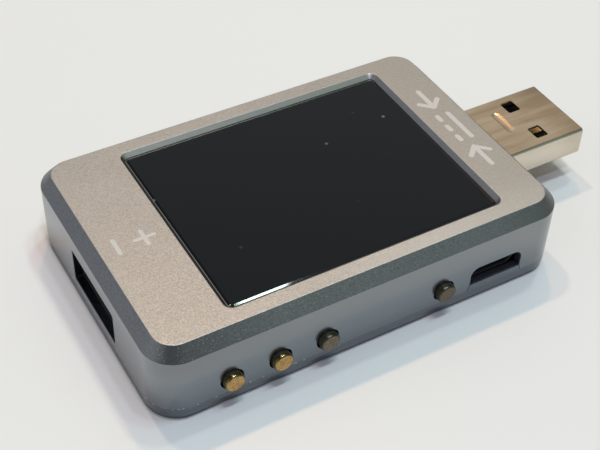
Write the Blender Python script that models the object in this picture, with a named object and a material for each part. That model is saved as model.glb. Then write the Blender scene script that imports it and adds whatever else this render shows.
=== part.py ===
"""USB power meter: aluminium housing with a glass display window, a USB-A plug on one end,
a USB-A socket on the other, a side port and four sprung push buttons.

Frame: origin at the centre of the underside, +X towards the plug, -Y towards the buttons, +Z up.
All sizes below are in millimetres and are turned into metres where meshes are made.
"""
import math

import bmesh
import bpy

MM = 0.001
GAP = 0.05                      # clearance between pieces that touch on the real object
OVERSHOOT = 1.0                 # how far a cutter runs past the surface that it opens
ARC_STEPS = 8                   # segments in a quarter turn of a large corner
CORNER_STEPS = 4                # the same for a small corner
SHARP_ANGLE = 30                # degrees; edges steeper than this stay sharp

# Housing
BODY_LENGTH = 60.0
BODY_WIDTH = 39.8
BODY_HEIGHT = 12.0
CORNER_RADIUS = 4.4
CHAMFER_WIDTH = 1.55
CHAMFER_DROP = 1.7
WALL = 1.2
CEILING_Z = 9.9                 # underside of the top plate
SEAM_Z = 2.0                    # parting line between shell and cover
FLOOR_THICKNESS = 1.0
BASE_EDGE = 0.3                 # broken edge round the underside
FRONT_Y = -BODY_WIDTH / 2
INNER_FRONT_Y = FRONT_Y + WALL
PLUG_END_X = BODY_LENGTH / 2
SOCKET_END_X = -BODY_LENGTH / 2

# Display window
WINDOW_CENTRE_X = 1.57
WINDOW_LENGTH = 40.9
WINDOW_WIDTH = 32.4
WINDOW_RADIUS = 1.3
WINDOW_SLOPE = 0.6              # the window's wall runs in by this and down by this
GLASS_RECESS = 0.55
GLASS_THICKNESS = 0.7
GLASS_CHAMFER = 0.22
LEDGE_WIDTH = 1.1
LEAST_CORNER = 0.4              # smallest corner radius of the window's outlines
GASKET_THICKNESS = 0.15
PANEL_LENGTH = 37.0
PANEL_WIDTH = 28.6
BACKLIGHT_LENGTH = 45.0
BACKLIGHT_WIDTH = 34.0
BACKLIGHT_BOTTOM_Z = 8.4
BACKLIGHT_FLOOR = 0.9
BACKLIGHT_CORNER = 0.8
POCKET_CORNER = 0.4
PANEL_CORNER = 0.3

# Ribbon cable from the display down to its connector on the board
RIBBON_THICKNESS = 0.16
RIBBON_Y = (7.0, 14.4)
RIBBON_ABOVE_BACKLIGHT = 0.5    # its upper run, above the backlight's underside
RIBBON_ABOVE_BOARD = 0.9        # its lower run, above the board
RIBBON_SQUEEZE = 0.6            # the bend is flattened to this share of its height
RIBBON_RETURN = 2.2             # from the bend back to the connector
RIBBON_CONNECTOR_LENGTH = 3.2
RIBBON_CONNECTOR_Y = (6.6, 14.8)
RIBBON_CONNECTOR_TOP_Z = 3.7

# Cover screws and their bosses
BOSS_X = 26.6
BOSS_Y = 16.6
BOSS_RADIUS = 1.9
SCREW_HEAD_RADIUS = 1.7
SCREW_SHANK_RADIUS = 0.8
SCREW_HEAD_LOW_Z = 0.05
SCREW_HEAD_RIM_Z = 0.15         # top of the head's upright rim, where its cone starts
SCREW_HEAD_HEIGHT = 0.85
SCREW_TOP_Z = 6.0
SCREW_POINT_LENGTH = 0.3
SCREW_POINT_INSET = 0.25
SCREW_RECESS = (0.9, 0.16)      # half length and half width of each arm of the cross
SCREW_RECESS_TOP_Z = 0.55
SHANK_HOLE_TOP_Z = 2.0

# Circuit board
BOARD_BOTTOM_Z = 1.3
BOARD_TOP_Z = 2.3
BOARD_LENGTH = 57.0
BOARD_FRONT_Y = -17.5
BOARD_BACK_Y = 18.4
BOARD_RADIUS = 3.0
BOARD_BOSS_CLEARANCE = 0.3

# Broken edges
PART_EDGE = 0.15
PLUNGER_EDGE = 0.1
CONTACT_EDGE = 0.05
INSULATOR_EDGE = 0.2

# USB-A plug
PLUG_WIDTH = 12.0
PLUG_HEIGHT = 4.5
PLUG_CENTRE_Z = 6.27
PLUG_REACH = 14.55              # from the housing's end face to the plug's tip
PLUG_ROOT_X = 26.2
PLUG_SHEET = 0.3
PLUG_RADIUS = 0.6
PLUG_WINDOW = (2.0, 2.4)
PLUG_WINDOW_RADIUS = 0.3
PLUG_WINDOW_X = 38.2
PLUG_WINDOW_Y = 3.3
PLUG_LEG_X = (PLUG_ROOT_X + 0.2, PLUG_ROOT_X + 1.8)
PLUG_LEG_HALF = 0.13            # half the thickness of a solder leg
PLUG_TONGUE_HEIGHT = 1.85
PLUG_TONGUE_SETBACK = 0.4       # the tongue ends this far inside the tip
PLUG_TONGUE_RAMP = (0.5, 0.4)   # length and height of the ramp on the tongue's tip
PLUG_BLOCK_REACH = 1.2          # the insulator's thick root passes the end face by this
PLUG_BLOCK_START = 0.3          # and starts this far inside the shell
PLUG_CONTACT_SETBACK = 0.9
PLUG_CONTACT_OUTER_LENGTH = 7.4
PLUG_CONTACT_INNER_LENGTH = 6.4
CONTACT_ROWS = (-3.5, -1.0, 1.0, 3.5)
CONTACT_WIDTH = 1.0
CONTACT_THICKNESS = 0.18

# USB-A socket
SOCKET_CENTRE_Y = -0.4
SOCKET_CENTRE_Z = 5.3
SOCKET_INNER = (12.5, 5.1)
SOCKET_SHEET = 0.3
SOCKET_MOUTH = (13.2, 5.2)
SOCKET_MOUTH_RADIUS = 0.4
SOCKET_OUTER_RADIUS = 0.6
SOCKET_INNER_RADIUS = 0.3
SOCKET_BACK_X = -15.0
SOCKET_BLOCK_LENGTH = 3.6
TONGUE_WIDTH = 11.1
TONGUE_THICKNESS = 1.84
TONGUE_LIFT = 0.75              # the tongue's centre above the socket's
TONGUE_SETBACK = 0.9            # the tongue starts this far behind the shell's mouth
TONGUE_CHAMFER = 0.4
SOCKET_CONTACT_SETBACK = 0.6    # the contacts start this far behind the tongue's tip

# Side port
PORT_CENTRE_X = 19.15
PORT_MOUTH_WIDTH = 8.1
PORT_MOUTH_FLARE = 0.3
PORT_SILL_Z = 2.95
PORT_TOP_Z = 5.75
PORT_CORNER = 1.3
PORT_OUTER_WIDTH = 7.6
PORT_HEIGHT = 2.6
PORT_SHEET = 0.25
PORT_DEPTH = 5.0
PORT_SHELL_CORNER = 0.5
PORT_SHELL_CUT = 0.9            # the lower corners are cut away by this
PORT_LEG_INSET = 0.12           # from the shell's side in to the middle of a solder leg
PORT_LEG_HALF = 0.1
PORT_LEG_REACH = (2.0, 3.6)     # start and end of a leg behind the shell's mouth
PORT_LEG_BELOW_TOP = 1.0
PORT_BLOCK_LENGTH = 1.2
PORT_BLOCK_HALF_HEIGHT = 0.9
PORT_BLOCK_END_GAP = 0.1
PORT_TONGUE_HALF_WIDTH = 1.9
PORT_TONGUE_SETBACK = 0.8
PORT_TONGUE_HEIGHTS = (-0.05, 0.55)   # underside and top from the middle of the mouth

# Push buttons
BUTTON_PITCH = 6.7
BUTTON_ROW = (-20.2, -20.2 + BUTTON_PITCH, -20.2 + 2 * BUTTON_PITCH, 10.8)
BUTTON_Z = 4.1
BUTTON_RADIUS = 1.38
BUTTON_HOLE_RADIUS = 1.55
BUTTON_PROUD = 0.9
BUTTON_CHAMFER = 0.28
FLANGE_RADIUS = 1.85
FLANGE_FRONT_Y = INNER_FRONT_Y + 0.1
FLANGE_THICKNESS = 0.6
BUTTON_TRAVEL = 0.35
SWITCH_FRONT_Y = -17.0
SWITCH_SIZE = (4.4, 3.2, 3.3)
SWITCH_MOUTH = (2.0, 1.6)
SWITCH_MOUTH_DEPTH = 1.2
PLUNGER_SIZE = (1.6, 1.2)
PLUNGER_END_GAP = 0.1           # left behind the plunger when the cap is fully pressed

# Colour, metallic and roughness of each material
FINISHES = {
    "anodised_grey": ((0.20, 0.22, 0.23), 1.0, 0.45),
    "black_glass": ((0.01, 0.01, 0.012), 0.0, 0.08),
    "black_plastic": ((0.02, 0.02, 0.022), 0.0, 0.5),
    "brass": ((0.75, 0.55, 0.25), 1.0, 0.3),
    "nickel_steel": ((0.66, 0.62, 0.56), 1.0, 0.25),
    "gold_plate": ((0.85, 0.62, 0.28), 1.0, 0.2),
    "board_green": ((0.02, 0.10, 0.05), 0.0, 0.4),
    "white_frame": ((0.75, 0.75, 0.72), 0.0, 0.5),
    "ribbon_amber": ((0.45, 0.22, 0.05), 0.0, 0.4),
    "chip_black": ((0.03, 0.03, 0.03), 0.0, 0.6),
    "ceramic_tan": ((0.45, 0.33, 0.22), 0.0, 0.6),
    "foam_black": ((0.015, 0.015, 0.015), 0.0, 0.9),
}


# --- Outlines -----------------------------------------------------------------------------

def arc(centre, radius, start, end, steps=ARC_STEPS):
    """Points of an arc from the angle start to the angle end, both in degrees."""
    angles = [math.radians(start + (end - start) * i / steps) for i in range(steps + 1)]
    return [(centre[0] + radius * math.cos(a), centre[1] + radius * math.sin(a)) for a in angles]


def rounded_rectangle(length, width, radius, centre=(0.0, 0.0), steps=ARC_STEPS):
    """Rectangle with round corners, anticlockwise."""
    points = []
    for sign_u, sign_v, start in ((1, 1, 0), (-1, 1, 90), (-1, -1, 180), (1, -1, 270)):
        corner = (centre[0] + sign_u * (length / 2 - radius), centre[1] + sign_v * (width / 2 - radius))
        points += arc(corner, radius, start, start + 90, steps)
    return points


def rectangle(low_u, low_v, high_u, high_v):
    return [(low_u, low_v), (high_u, low_v), (high_u, high_v), (low_u, high_v)]


def circle(radius, centre, steps=4 * ARC_STEPS):
    return arc(centre, radius, 0, 360, steps)[:-1]


# --- Solids -------------------------------------------------------------------------------

def finish(name):
    """The material of this name, made once."""
    if name in bpy.data.materials:
        return bpy.data.materials[name]
    colour, metallic, roughness = FINISHES[name]
    made = bpy.data.materials.new(name)
    made.use_nodes = True
    shader = made.node_tree.nodes["Principled BSDF"]
    shader.inputs["Base Color"].default_value = (*colour, 1.0)
    shader.inputs["Metallic"].default_value = metallic
    shader.inputs["Roughness"].default_value = roughness
    made.diffuse_color = (*colour, 1.0)
    return made


def to_space(point, level, along):
    """A point of an outline at a level of the axis that the solid runs along."""
    u, v = point
    return {"X": (level, u, v), "Y": (u, level, v), "Z": (u, v, level)}[along]


def loft(name, rings, along="Z", material="anodised_grey", origin=(0.0, 0.0, 0.0)):
    """A closed solid through rings of (outline, level); every outline has as many points."""
    mesh = bmesh.new()
    loops = []
    for outline, level in rings:
        places = [to_space(point, level, along) for point in outline]
        loops.append([mesh.verts.new([(p - o) * MM for p, o in zip(place, origin)]) for place in places])
    count = len(loops[0])
    for lower, upper in zip(loops, loops[1:]):
        for i in range(count):
            after = (i + 1) % count
            mesh.faces.new((lower[i], lower[after], upper[after], upper[i]))
    mesh.faces.new(loops[0])
    mesh.faces.new(loops[-1])
    bmesh.ops.recalc_face_normals(mesh, faces=mesh.faces)
    data = bpy.data.meshes.new(name)
    mesh.to_mesh(data)
    mesh.free()
    data.shade_smooth()
    data.set_sharp_from_angle(angle=math.radians(SHARP_ANGLE))
    data.materials.append(finish(material))
    solid = bpy.data.objects.new(name, data)
    solid.location = [value * MM for value in origin]
    bpy.context.collection.objects.link(solid)
    return solid


def prism(name, outline, low, high, along="Z", material="anodised_grey", origin=(0.0, 0.0, 0.0)):
    return loft(name, [(outline, low), (outline, high)], along, material, origin)


def box(name, low, high, material="anodised_grey", edge=0.0, origin=(0.0, 0.0, 0.0)):
    """A block between two corners, with its edges broken by edge."""
    solid = prism(name, rectangle(low[0], low[1], high[0], high[1]), low[2], high[2],
                  material=material, origin=origin)
    if edge:
        bevel = solid.modifiers.new("broken_edges", "BEVEL")
        bevel.width = edge * MM
        bevel.segments = 1
    return solid


def turned(name, profile, centre, along="Y", material="brass", origin=(0.0, 0.0, 0.0)):
    """A turned solid from (radius, level) pairs."""
    rings = [(circle(radius, centre), level) for radius, level in profile]
    return loft(name, rings, along, material, origin)


def combine(target, tool, operation):
    """Boolean of target with a tool that isn't itself a piece of the object."""
    tool.hide_render = True
    tool.display_type = "WIRE"
    step = target.modifiers.new(tool.name, "BOOLEAN")
    step.operation = operation
    step.solver = "EXACT"
    step.object = tool


def cut(target, tool):
    combine(target, tool, "DIFFERENCE")


def join(target, tool):
    combine(target, tool, "UNION")


# --- Housing ------------------------------------------------------------------------------

def boss_places():
    """Number and place of each corner boss."""
    return enumerate(((x, y) for x in (-BOSS_X, BOSS_X) for y in (-BOSS_Y, BOSS_Y)), start=1)


def body_outline(inset=0.0):
    return rounded_rectangle(BODY_LENGTH - 2 * inset, BODY_WIDTH - 2 * inset, CORNER_RADIUS - inset)


def window_outline(inset):
    radius = max(WINDOW_RADIUS - inset, LEAST_CORNER)
    return rounded_rectangle(WINDOW_LENGTH - 2 * inset, WINDOW_WIDTH - 2 * inset, radius,
                             (WINDOW_CENTRE_X, 0.0))


def port_notch_outline(bottom_z, clearance=0.0):
    """Mouth of the side port: upright sides, round top corners and a foot that flares out."""
    half = PORT_MOUTH_WIDTH / 2 - clearance
    foot = half + PORT_MOUTH_FLARE * (PORT_SILL_Z - bottom_z) / (PORT_SILL_Z - SEAM_Z)
    corner_z = PORT_TOP_Z - PORT_CORNER
    outline = [(PORT_CENTRE_X - foot, bottom_z), (PORT_CENTRE_X + foot, bottom_z)]
    outline.append((PORT_CENTRE_X + half, PORT_SILL_Z))
    outline += arc((PORT_CENTRE_X + half - PORT_CORNER, corner_z), PORT_CORNER, 0, 90)
    outline += arc((PORT_CENTRE_X - half + PORT_CORNER, corner_z), PORT_CORNER, 90, 180)
    outline.append((PORT_CENTRE_X - half, PORT_SILL_Z))
    return outline


def build_top_shell():
    shell = loft("top_shell", [
        (body_outline(), SEAM_Z + GAP / 2),
        (body_outline(), BODY_HEIGHT - CHAMFER_DROP),
        (body_outline(CHAMFER_WIDTH), BODY_HEIGHT),
    ])
    cut(shell, prism("cavity_cutter", body_outline(WALL), 0.0, CEILING_Z))
    for number, place in boss_places():
        form = [(BOSS_RADIUS, FLOOR_THICKNESS + GAP), (BOSS_RADIUS, CEILING_Z + OVERSHOOT / 2)]
        join(shell, turned(f"boss_{number}_form", form, place, "Z"))
        hole_radius = SCREW_SHANK_RADIUS + GAP
        bore = [(hole_radius, 0.0), (hole_radius, SCREW_TOP_Z + OVERSHOOT)]
        cut(shell, turned(f"boss_{number}_bore", bore, place, "Z"))
    seat_z = BODY_HEIGHT - GLASS_RECESS - GLASS_THICKNESS - GASKET_THICKNESS - 2 * GAP
    slope_z = BODY_HEIGHT - WINDOW_SLOPE
    cut(shell, loft("window_cutter", [
        (window_outline(WINDOW_SLOPE), seat_z),
        (window_outline(WINDOW_SLOPE), slope_z),
        (window_outline(-WINDOW_SLOPE), BODY_HEIGHT + WINDOW_SLOPE),
    ]))
    cut(shell, prism("ledge_cutter", window_outline(WINDOW_SLOPE + LEDGE_WIDTH), CEILING_Z - OVERSHOOT,
                     seat_z + OVERSHOOT / 2))
    for number, x in enumerate(BUTTON_ROW, start=1):
        hole = [(BUTTON_HOLE_RADIUS, FRONT_Y - OVERSHOOT), (BUTTON_HOLE_RADIUS, FRONT_Y + 2 * WALL)]
        cut(shell, turned(f"button_hole_{number}", hole, (x, BUTTON_Z)))
    cut(shell, prism("port_notch_cutter", port_notch_outline(SEAM_Z - OVERSHOOT / 2), FRONT_Y - OVERSHOOT,
                     FRONT_Y + 2 * WALL, "Y"))
    plug_hole = rounded_rectangle(PLUG_WIDTH + 4 * GAP, PLUG_HEIGHT + 4 * GAP, PLUG_RADIUS + GAP,
                                  (0.0, PLUG_CENTRE_Z), CORNER_STEPS)
    cut(shell, prism("plug_hole_cutter", plug_hole, PLUG_END_X - 2 * WALL, PLUG_END_X + OVERSHOOT, "X"))
    socket_hole = rounded_rectangle(*SOCKET_MOUTH, SOCKET_MOUTH_RADIUS,
                                    (SOCKET_CENTRE_Y, SOCKET_CENTRE_Z), CORNER_STEPS)
    cut(shell, prism("socket_mouth_cutter", socket_hole, SOCKET_END_X - OVERSHOOT, SOCKET_END_X + 2 * WALL,
                     "X"))


def build_bottom_cover():
    """Tray with a low rim; a sill rises from its front edge into the side port's notch."""
    cover = loft("bottom_cover", [
        (body_outline(BASE_EDGE), 0.0),
        (body_outline(), BASE_EDGE),
        (body_outline(), PORT_SILL_Z),
    ])
    over = PORT_SILL_Z + OVERSHOOT
    cut(cover, prism("tray_cutter", body_outline(WALL), FLOOR_THICKNESS, over))
    half = PORT_MOUTH_WIDTH / 2 - GAP
    rim_z = SEAM_Z - GAP / 2
    foot = half + PORT_MOUTH_FLARE
    far = BODY_LENGTH
    above_rim = [(far, rim_z), (far, over), (-far, over), (-far, rim_z),
                 (PORT_CENTRE_X - foot, rim_z), (PORT_CENTRE_X - half, PORT_SILL_Z),
                 (PORT_CENTRE_X + half, PORT_SILL_Z), (PORT_CENTRE_X + foot, rim_z)]
    cut(cover, prism("rim_cutter", above_rim, -BODY_WIDTH, 0.0, "Y"))
    plain = rectangle(-far, rim_z, far, over)
    cut(cover, prism("back_rim_cutter", plain, -OVERSHOOT, BODY_WIDTH, "Y"))
    head = SCREW_HEAD_RADIUS + GAP
    shank = SCREW_SHANK_RADIUS + 2 * GAP
    for number, place in boss_places():
        profile = [(head, -OVERSHOOT), (head, SCREW_HEAD_RIM_Z), (shank, SCREW_HEAD_HEIGHT + GAP),
                   (shank, SHANK_HOLE_TOP_Z)]
        cut(cover, turned(f"countersink_{number}", profile, place, "Z"))
        seat = BOSS_RADIUS + 2 * GAP
        cut(cover, turned(f"boss_seat_{number}", [(seat, FLOOR_THICKNESS), (seat, over)], place, "Z"))


def build_screws():
    for number, place in boss_places():
        screw = turned(f"cover_screw_{number}", [
            (SCREW_HEAD_RADIUS, SCREW_HEAD_LOW_Z), (SCREW_HEAD_RADIUS, SCREW_HEAD_RIM_Z),
            (SCREW_SHANK_RADIUS, SCREW_HEAD_HEIGHT), (SCREW_SHANK_RADIUS, SCREW_TOP_Z - SCREW_POINT_LENGTH),
            (SCREW_SHANK_RADIUS - SCREW_POINT_INSET, SCREW_TOP_Z)], place, "Z", "nickel_steel")
        for name, (reach_x, reach_y) in (("long", SCREW_RECESS), ("cross", SCREW_RECESS[::-1])):
            slot = rectangle(place[0] - reach_x, place[1] - reach_y, place[0] + reach_x, place[1] + reach_y)
            cut(screw, prism(f"recess_{name}_{number}", slot, -OVERSHOOT, SCREW_RECESS_TOP_Z))


# --- Display ------------------------------------------------------------------------------

def build_display():
    glass_top = BODY_HEIGHT - GLASS_RECESS
    glass_bottom = glass_top - GLASS_THICKNESS
    edge = WINDOW_SLOPE + GAP
    loft("cover_glass", [
        (window_outline(edge), glass_bottom),
        (window_outline(edge), glass_top - GLASS_CHAMFER / 2),
        (window_outline(edge + GLASS_CHAMFER), glass_top),
    ], material="black_glass")
    gasket_top = glass_bottom - GAP
    gasket = prism("glass_gasket", window_outline(edge), gasket_top - GASKET_THICKNESS, gasket_top,
                   material="foam_black")
    cut(gasket, prism("gasket_cutter", window_outline(edge + LEDGE_WIDTH), 0.0, BODY_HEIGHT))
    centre = (WINDOW_CENTRE_X, 0.0)
    frame_top = CEILING_Z - GAP
    frame_floor = BACKLIGHT_BOTTOM_Z + BACKLIGHT_FLOOR
    outer = rounded_rectangle(BACKLIGHT_LENGTH, BACKLIGHT_WIDTH, BACKLIGHT_CORNER, centre, CORNER_STEPS)
    backlight = prism("lcd_backlight", outer, BACKLIGHT_BOTTOM_Z, frame_top, material="white_frame")
    pocket = rounded_rectangle(PANEL_LENGTH + 4 * GAP, PANEL_WIDTH + 4 * GAP, POCKET_CORNER, centre,
                               CORNER_STEPS)
    cut(backlight, prism("panel_pocket_cutter", pocket, frame_floor, BODY_HEIGHT))
    panel = rounded_rectangle(PANEL_LENGTH, PANEL_WIDTH, PANEL_CORNER, centre, CORNER_STEPS)
    prism("lcd_panel", panel, frame_floor + GAP, gasket_top - GAP, material="black_glass")
    build_ribbon()


def build_ribbon():
    """Flat cable that leaves the display's edge, turns down and back to its connector on the board."""
    start_x = WINDOW_CENTRE_X + BACKLIGHT_LENGTH / 2 + GAP
    top_z = BACKLIGHT_BOTTOM_Z + RIBBON_ABOVE_BACKLIGHT
    bottom_z = BOARD_TOP_Z + RIBBON_ABOVE_BOARD
    bend = (top_z - bottom_z) / 2
    centre_z = (top_z + bottom_z) / 2
    half = RIBBON_THICKNESS / 2

    def side(radius):
        curve = arc((0.0, 0.0), radius, 90, -90, 2 * ARC_STEPS)
        return [(start_x + RIBBON_SQUEEZE * u, centre_z + v) for u, v in curve]

    connector_x = start_x - RIBBON_RETURN
    outer = side(bend + half) + [(connector_x, bottom_z - half)]
    inner = side(bend - half) + [(connector_x, bottom_z + half)]
    prism("display_ribbon", outer + inner[::-1], *RIBBON_Y, "Y", "ribbon_amber")
    low_y, high_y = RIBBON_CONNECTOR_Y
    box("display_connector", (connector_x - RIBBON_CONNECTOR_LENGTH, low_y, BOARD_TOP_Z + GAP),
        (connector_x - GAP, high_y, RIBBON_CONNECTOR_TOP_Z), "white_frame", PART_EDGE)


# --- Connectors ---------------------------------------------------------------------------

def build_usb_plug():
    """Folded sheet shell with two windows in its top and two in its underside, and solder legs."""
    tip_x = PLUG_END_X + PLUG_REACH
    centre = (0.0, PLUG_CENTRE_Z)
    bottom_z = PLUG_CENTRE_Z - PLUG_HEIGHT / 2
    outer = rounded_rectangle(PLUG_WIDTH, PLUG_HEIGHT, PLUG_RADIUS, centre, CORNER_STEPS)
    shell = prism("usb_plug_shell", outer, PLUG_ROOT_X, tip_x, "X", "nickel_steel")
    inner_width = PLUG_WIDTH - 2 * PLUG_SHEET
    inner_height = PLUG_HEIGHT - 2 * PLUG_SHEET
    inner = rounded_rectangle(inner_width, inner_height, PLUG_RADIUS - PLUG_SHEET, centre, CORNER_STEPS)
    for side in (-1, 1):
        middle_y = side * (PLUG_WIDTH - PLUG_SHEET) / 2
        join(shell, box(f"plug_leg_form_{side + 2}",
                        (PLUG_LEG_X[0], middle_y - PLUG_LEG_HALF, BOARD_TOP_Z + GAP),
                        (PLUG_LEG_X[1], middle_y + PLUG_LEG_HALF, PLUG_CENTRE_Z)))
        window = rounded_rectangle(*PLUG_WINDOW, PLUG_WINDOW_RADIUS, (PLUG_WINDOW_X, side * PLUG_WINDOW_Y),
                                   CORNER_STEPS)
        cut(shell, prism(f"plug_window_cutter_{side + 2}", window, 0.0, BODY_HEIGHT))
    cut(shell, prism("plug_inside_cutter", inner, PLUG_ROOT_X - OVERSHOOT, tip_x + OVERSHOOT, "X"))

    floor_z = bottom_z + PLUG_SHEET + GAP
    tongue_top = floor_z + PLUG_TONGUE_HEIGHT
    root_top = PLUG_CENTRE_Z + inner_height / 2 - GAP
    front_x = tip_x - PLUG_TONGUE_SETBACK
    step_x = PLUG_END_X + PLUG_BLOCK_REACH
    back_x = PLUG_ROOT_X + PLUG_BLOCK_START
    ramp_length, ramp_height = PLUG_TONGUE_RAMP
    profile = [(back_x, floor_z), (front_x, floor_z), (front_x, tongue_top - ramp_height),
               (front_x - ramp_length, tongue_top), (step_x, tongue_top), (step_x, root_top),
               (back_x, root_top)]
    half = inner_width / 2 - 2 * GAP
    insulator = prism("usb_plug_insulator", profile, -half, half, "Y", "black_plastic")
    bevel = insulator.modifiers.new("broken_edges", "BEVEL")
    bevel.width = INSULATOR_EDGE * MM
    bevel.segments = 1
    for number, y in enumerate(CONTACT_ROWS, start=1):
        outermost = number in (1, len(CONTACT_ROWS))
        length = PLUG_CONTACT_OUTER_LENGTH if outermost else PLUG_CONTACT_INNER_LENGTH
        end_x = front_x - PLUG_CONTACT_SETBACK
        low = (end_x - length, y - CONTACT_WIDTH / 2, tongue_top + GAP)
        high = (end_x, y + CONTACT_WIDTH / 2, tongue_top + GAP + CONTACT_THICKNESS)
        box(f"plug_contact_{number}", low, high, "gold_plate", CONTACT_EDGE)


def build_usb_socket():
    """Five-sided shell behind the end wall, with the contact tongue in its upper half."""
    front_x = SOCKET_END_X + WALL + GAP
    centre = (SOCKET_CENTRE_Y, SOCKET_CENTRE_Z)
    inner_width, inner_height = SOCKET_INNER
    outer = rounded_rectangle(inner_width + 2 * SOCKET_SHEET, inner_height + 2 * SOCKET_SHEET,
                              SOCKET_OUTER_RADIUS, centre, CORNER_STEPS)
    inner = rounded_rectangle(inner_width, inner_height, SOCKET_INNER_RADIUS, centre, CORNER_STEPS)
    shell = prism("usb_socket_shell", outer, front_x, SOCKET_BACK_X, "X", "nickel_steel")
    cut(shell, prism("socket_inside_cutter", inner, front_x - OVERSHOOT,
                     SOCKET_BACK_X - SOCKET_SHEET, "X"))

    back_x = SOCKET_BACK_X - SOCKET_SHEET - GAP
    block_x = back_x - SOCKET_BLOCK_LENGTH
    tongue_x = front_x + TONGUE_SETBACK
    half_height = inner_height / 2 - GAP
    tongue_z = SOCKET_CENTRE_Z + TONGUE_LIFT
    tongue_low = tongue_z - TONGUE_THICKNESS / 2
    tongue_high = tongue_z + TONGUE_THICKNESS / 2
    profile = [(back_x, SOCKET_CENTRE_Z - half_height), (back_x, SOCKET_CENTRE_Z + half_height),
               (block_x, SOCKET_CENTRE_Z + half_height), (block_x, tongue_high),
               (tongue_x + TONGUE_CHAMFER, tongue_high), (tongue_x, tongue_high - TONGUE_CHAMFER),
               (tongue_x, tongue_low), (block_x, tongue_low), (block_x, SOCKET_CENTRE_Z - half_height)]
    half = TONGUE_WIDTH / 2
    prism("usb_socket_tongue", profile, SOCKET_CENTRE_Y - half, SOCKET_CENTRE_Y + half, "Y", "black_plastic")
    for number, row in enumerate(CONTACT_ROWS, start=1):
        y = SOCKET_CENTRE_Y + row
        top_z = tongue_low - GAP
        low = (tongue_x + SOCKET_CONTACT_SETBACK, y - CONTACT_WIDTH / 2, top_z - CONTACT_THICKNESS)
        high = (block_x - GAP, y + CONTACT_WIDTH / 2, top_z)
        box(f"socket_contact_{number}", low, high, "gold_plate", CONTACT_EDGE)


def port_outline(inset):
    """Shape of the side port's shell: wide above, with both lower corners cut away."""
    half = PORT_OUTER_WIDTH / 2 - inset
    top = (PORT_SILL_Z + PORT_TOP_Z + PORT_HEIGHT) / 2 - inset
    bottom = top + 2 * inset - PORT_HEIGHT
    corner = PORT_SHELL_CORNER - inset / 2
    left, right = PORT_CENTRE_X - half, PORT_CENTRE_X + half
    outline = [(left + PORT_SHELL_CUT, bottom), (right - PORT_SHELL_CUT, bottom),
               (right, bottom + PORT_SHELL_CUT)]
    outline += arc((right - corner, top - corner), corner, 0, 90, CORNER_STEPS)
    outline += arc((left + corner, top - corner), corner, 90, 180, CORNER_STEPS)
    outline.append((left, bottom + PORT_SHELL_CUT))
    return outline


def build_side_port():
    front_y = INNER_FRONT_Y + GAP
    back_y = front_y + PORT_DEPTH
    shell = prism("side_port_shell", port_outline(0.0), front_y, back_y, "Y", "nickel_steel")
    for side in (-1, 1):
        edge_x = PORT_CENTRE_X + side * (PORT_OUTER_WIDTH / 2 - PORT_LEG_INSET)
        join(shell, box(f"port_leg_form_{side + 2}",
                        (edge_x - PORT_LEG_HALF, front_y + PORT_LEG_REACH[0], BOARD_TOP_Z + GAP),
                        (edge_x + PORT_LEG_HALF, front_y + PORT_LEG_REACH[1],
                         PORT_TOP_Z - PORT_LEG_BELOW_TOP)))
    cut(shell, prism("port_inside_cutter", port_outline(PORT_SHEET), front_y - OVERSHOOT, back_y + OVERSHOOT,
                     "Y"))
    middle_z = (PORT_SILL_Z + PORT_TOP_Z) / 2
    end_y = back_y - PORT_BLOCK_END_GAP
    block_y = back_y - PORT_BLOCK_LENGTH
    tip_y = front_y + PORT_TONGUE_SETBACK
    block_low, block_high = middle_z - PORT_BLOCK_HALF_HEIGHT, middle_z + PORT_BLOCK_HALF_HEIGHT
    tongue_low, tongue_high = (middle_z + height for height in PORT_TONGUE_HEIGHTS)
    profile = [(end_y, block_low), (end_y, block_high), (block_y, block_high), (block_y, tongue_high),
               (tip_y, tongue_high), (tip_y, tongue_low), (block_y, tongue_low), (block_y, block_low)]
    prism("side_port_tongue", profile, PORT_CENTRE_X - PORT_TONGUE_HALF_WIDTH,
          PORT_CENTRE_X + PORT_TONGUE_HALF_WIDTH, "X", "black_plastic")


# --- Buttons ------------------------------------------------------------------------------

def build_buttons():
    """Turned caps in the front wall; each presses the plunger of a side-push switch."""
    face_y = FRONT_Y - BUTTON_PROUD
    flange_back_y = FLANGE_FRONT_Y + FLANGE_THICKNESS
    profile = [(BUTTON_RADIUS - BUTTON_CHAMFER, face_y), (BUTTON_RADIUS, face_y + BUTTON_CHAMFER),
               (BUTTON_RADIUS, FLANGE_FRONT_Y), (FLANGE_RADIUS, FLANGE_FRONT_Y),
               (FLANGE_RADIUS, flange_back_y)]
    width, depth, height = SWITCH_SIZE
    mouth_back_y = SWITCH_FRONT_Y + SWITCH_MOUTH_DEPTH
    for number, x in enumerate(BUTTON_ROW, start=1):
        axis_point = (x, FRONT_Y, BUTTON_Z)
        turned(f"button_cap_{number}", profile, (x, BUTTON_Z), origin=axis_point)
        box(f"switch_plunger_{number}",
            (x - PLUNGER_SIZE[0] / 2, flange_back_y + GAP, BUTTON_Z - PLUNGER_SIZE[1] / 2),
            (x + PLUNGER_SIZE[0] / 2, mouth_back_y - BUTTON_TRAVEL - PLUNGER_END_GAP,
             BUTTON_Z + PLUNGER_SIZE[1] / 2),
            "white_frame", PLUNGER_EDGE, axis_point)
        base_z = BOARD_TOP_Z + GAP
        body = box(f"switch_body_{number}", (x - width / 2, SWITCH_FRONT_Y, base_z),
                   (x + width / 2, SWITCH_FRONT_Y + depth, base_z + height), "chip_black")
        mouth = box(f"switch_mouth_cutter_{number}",
                    (x - SWITCH_MOUTH[0] / 2, SWITCH_FRONT_Y - OVERSHOOT, BUTTON_Z - SWITCH_MOUTH[1] / 2),
                    (x + SWITCH_MOUTH[0] / 2, mouth_back_y, BUTTON_Z + SWITCH_MOUTH[1] / 2))
        cut(body, mouth)


# --- Circuit board ------------------------------------------------------------------------

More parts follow.
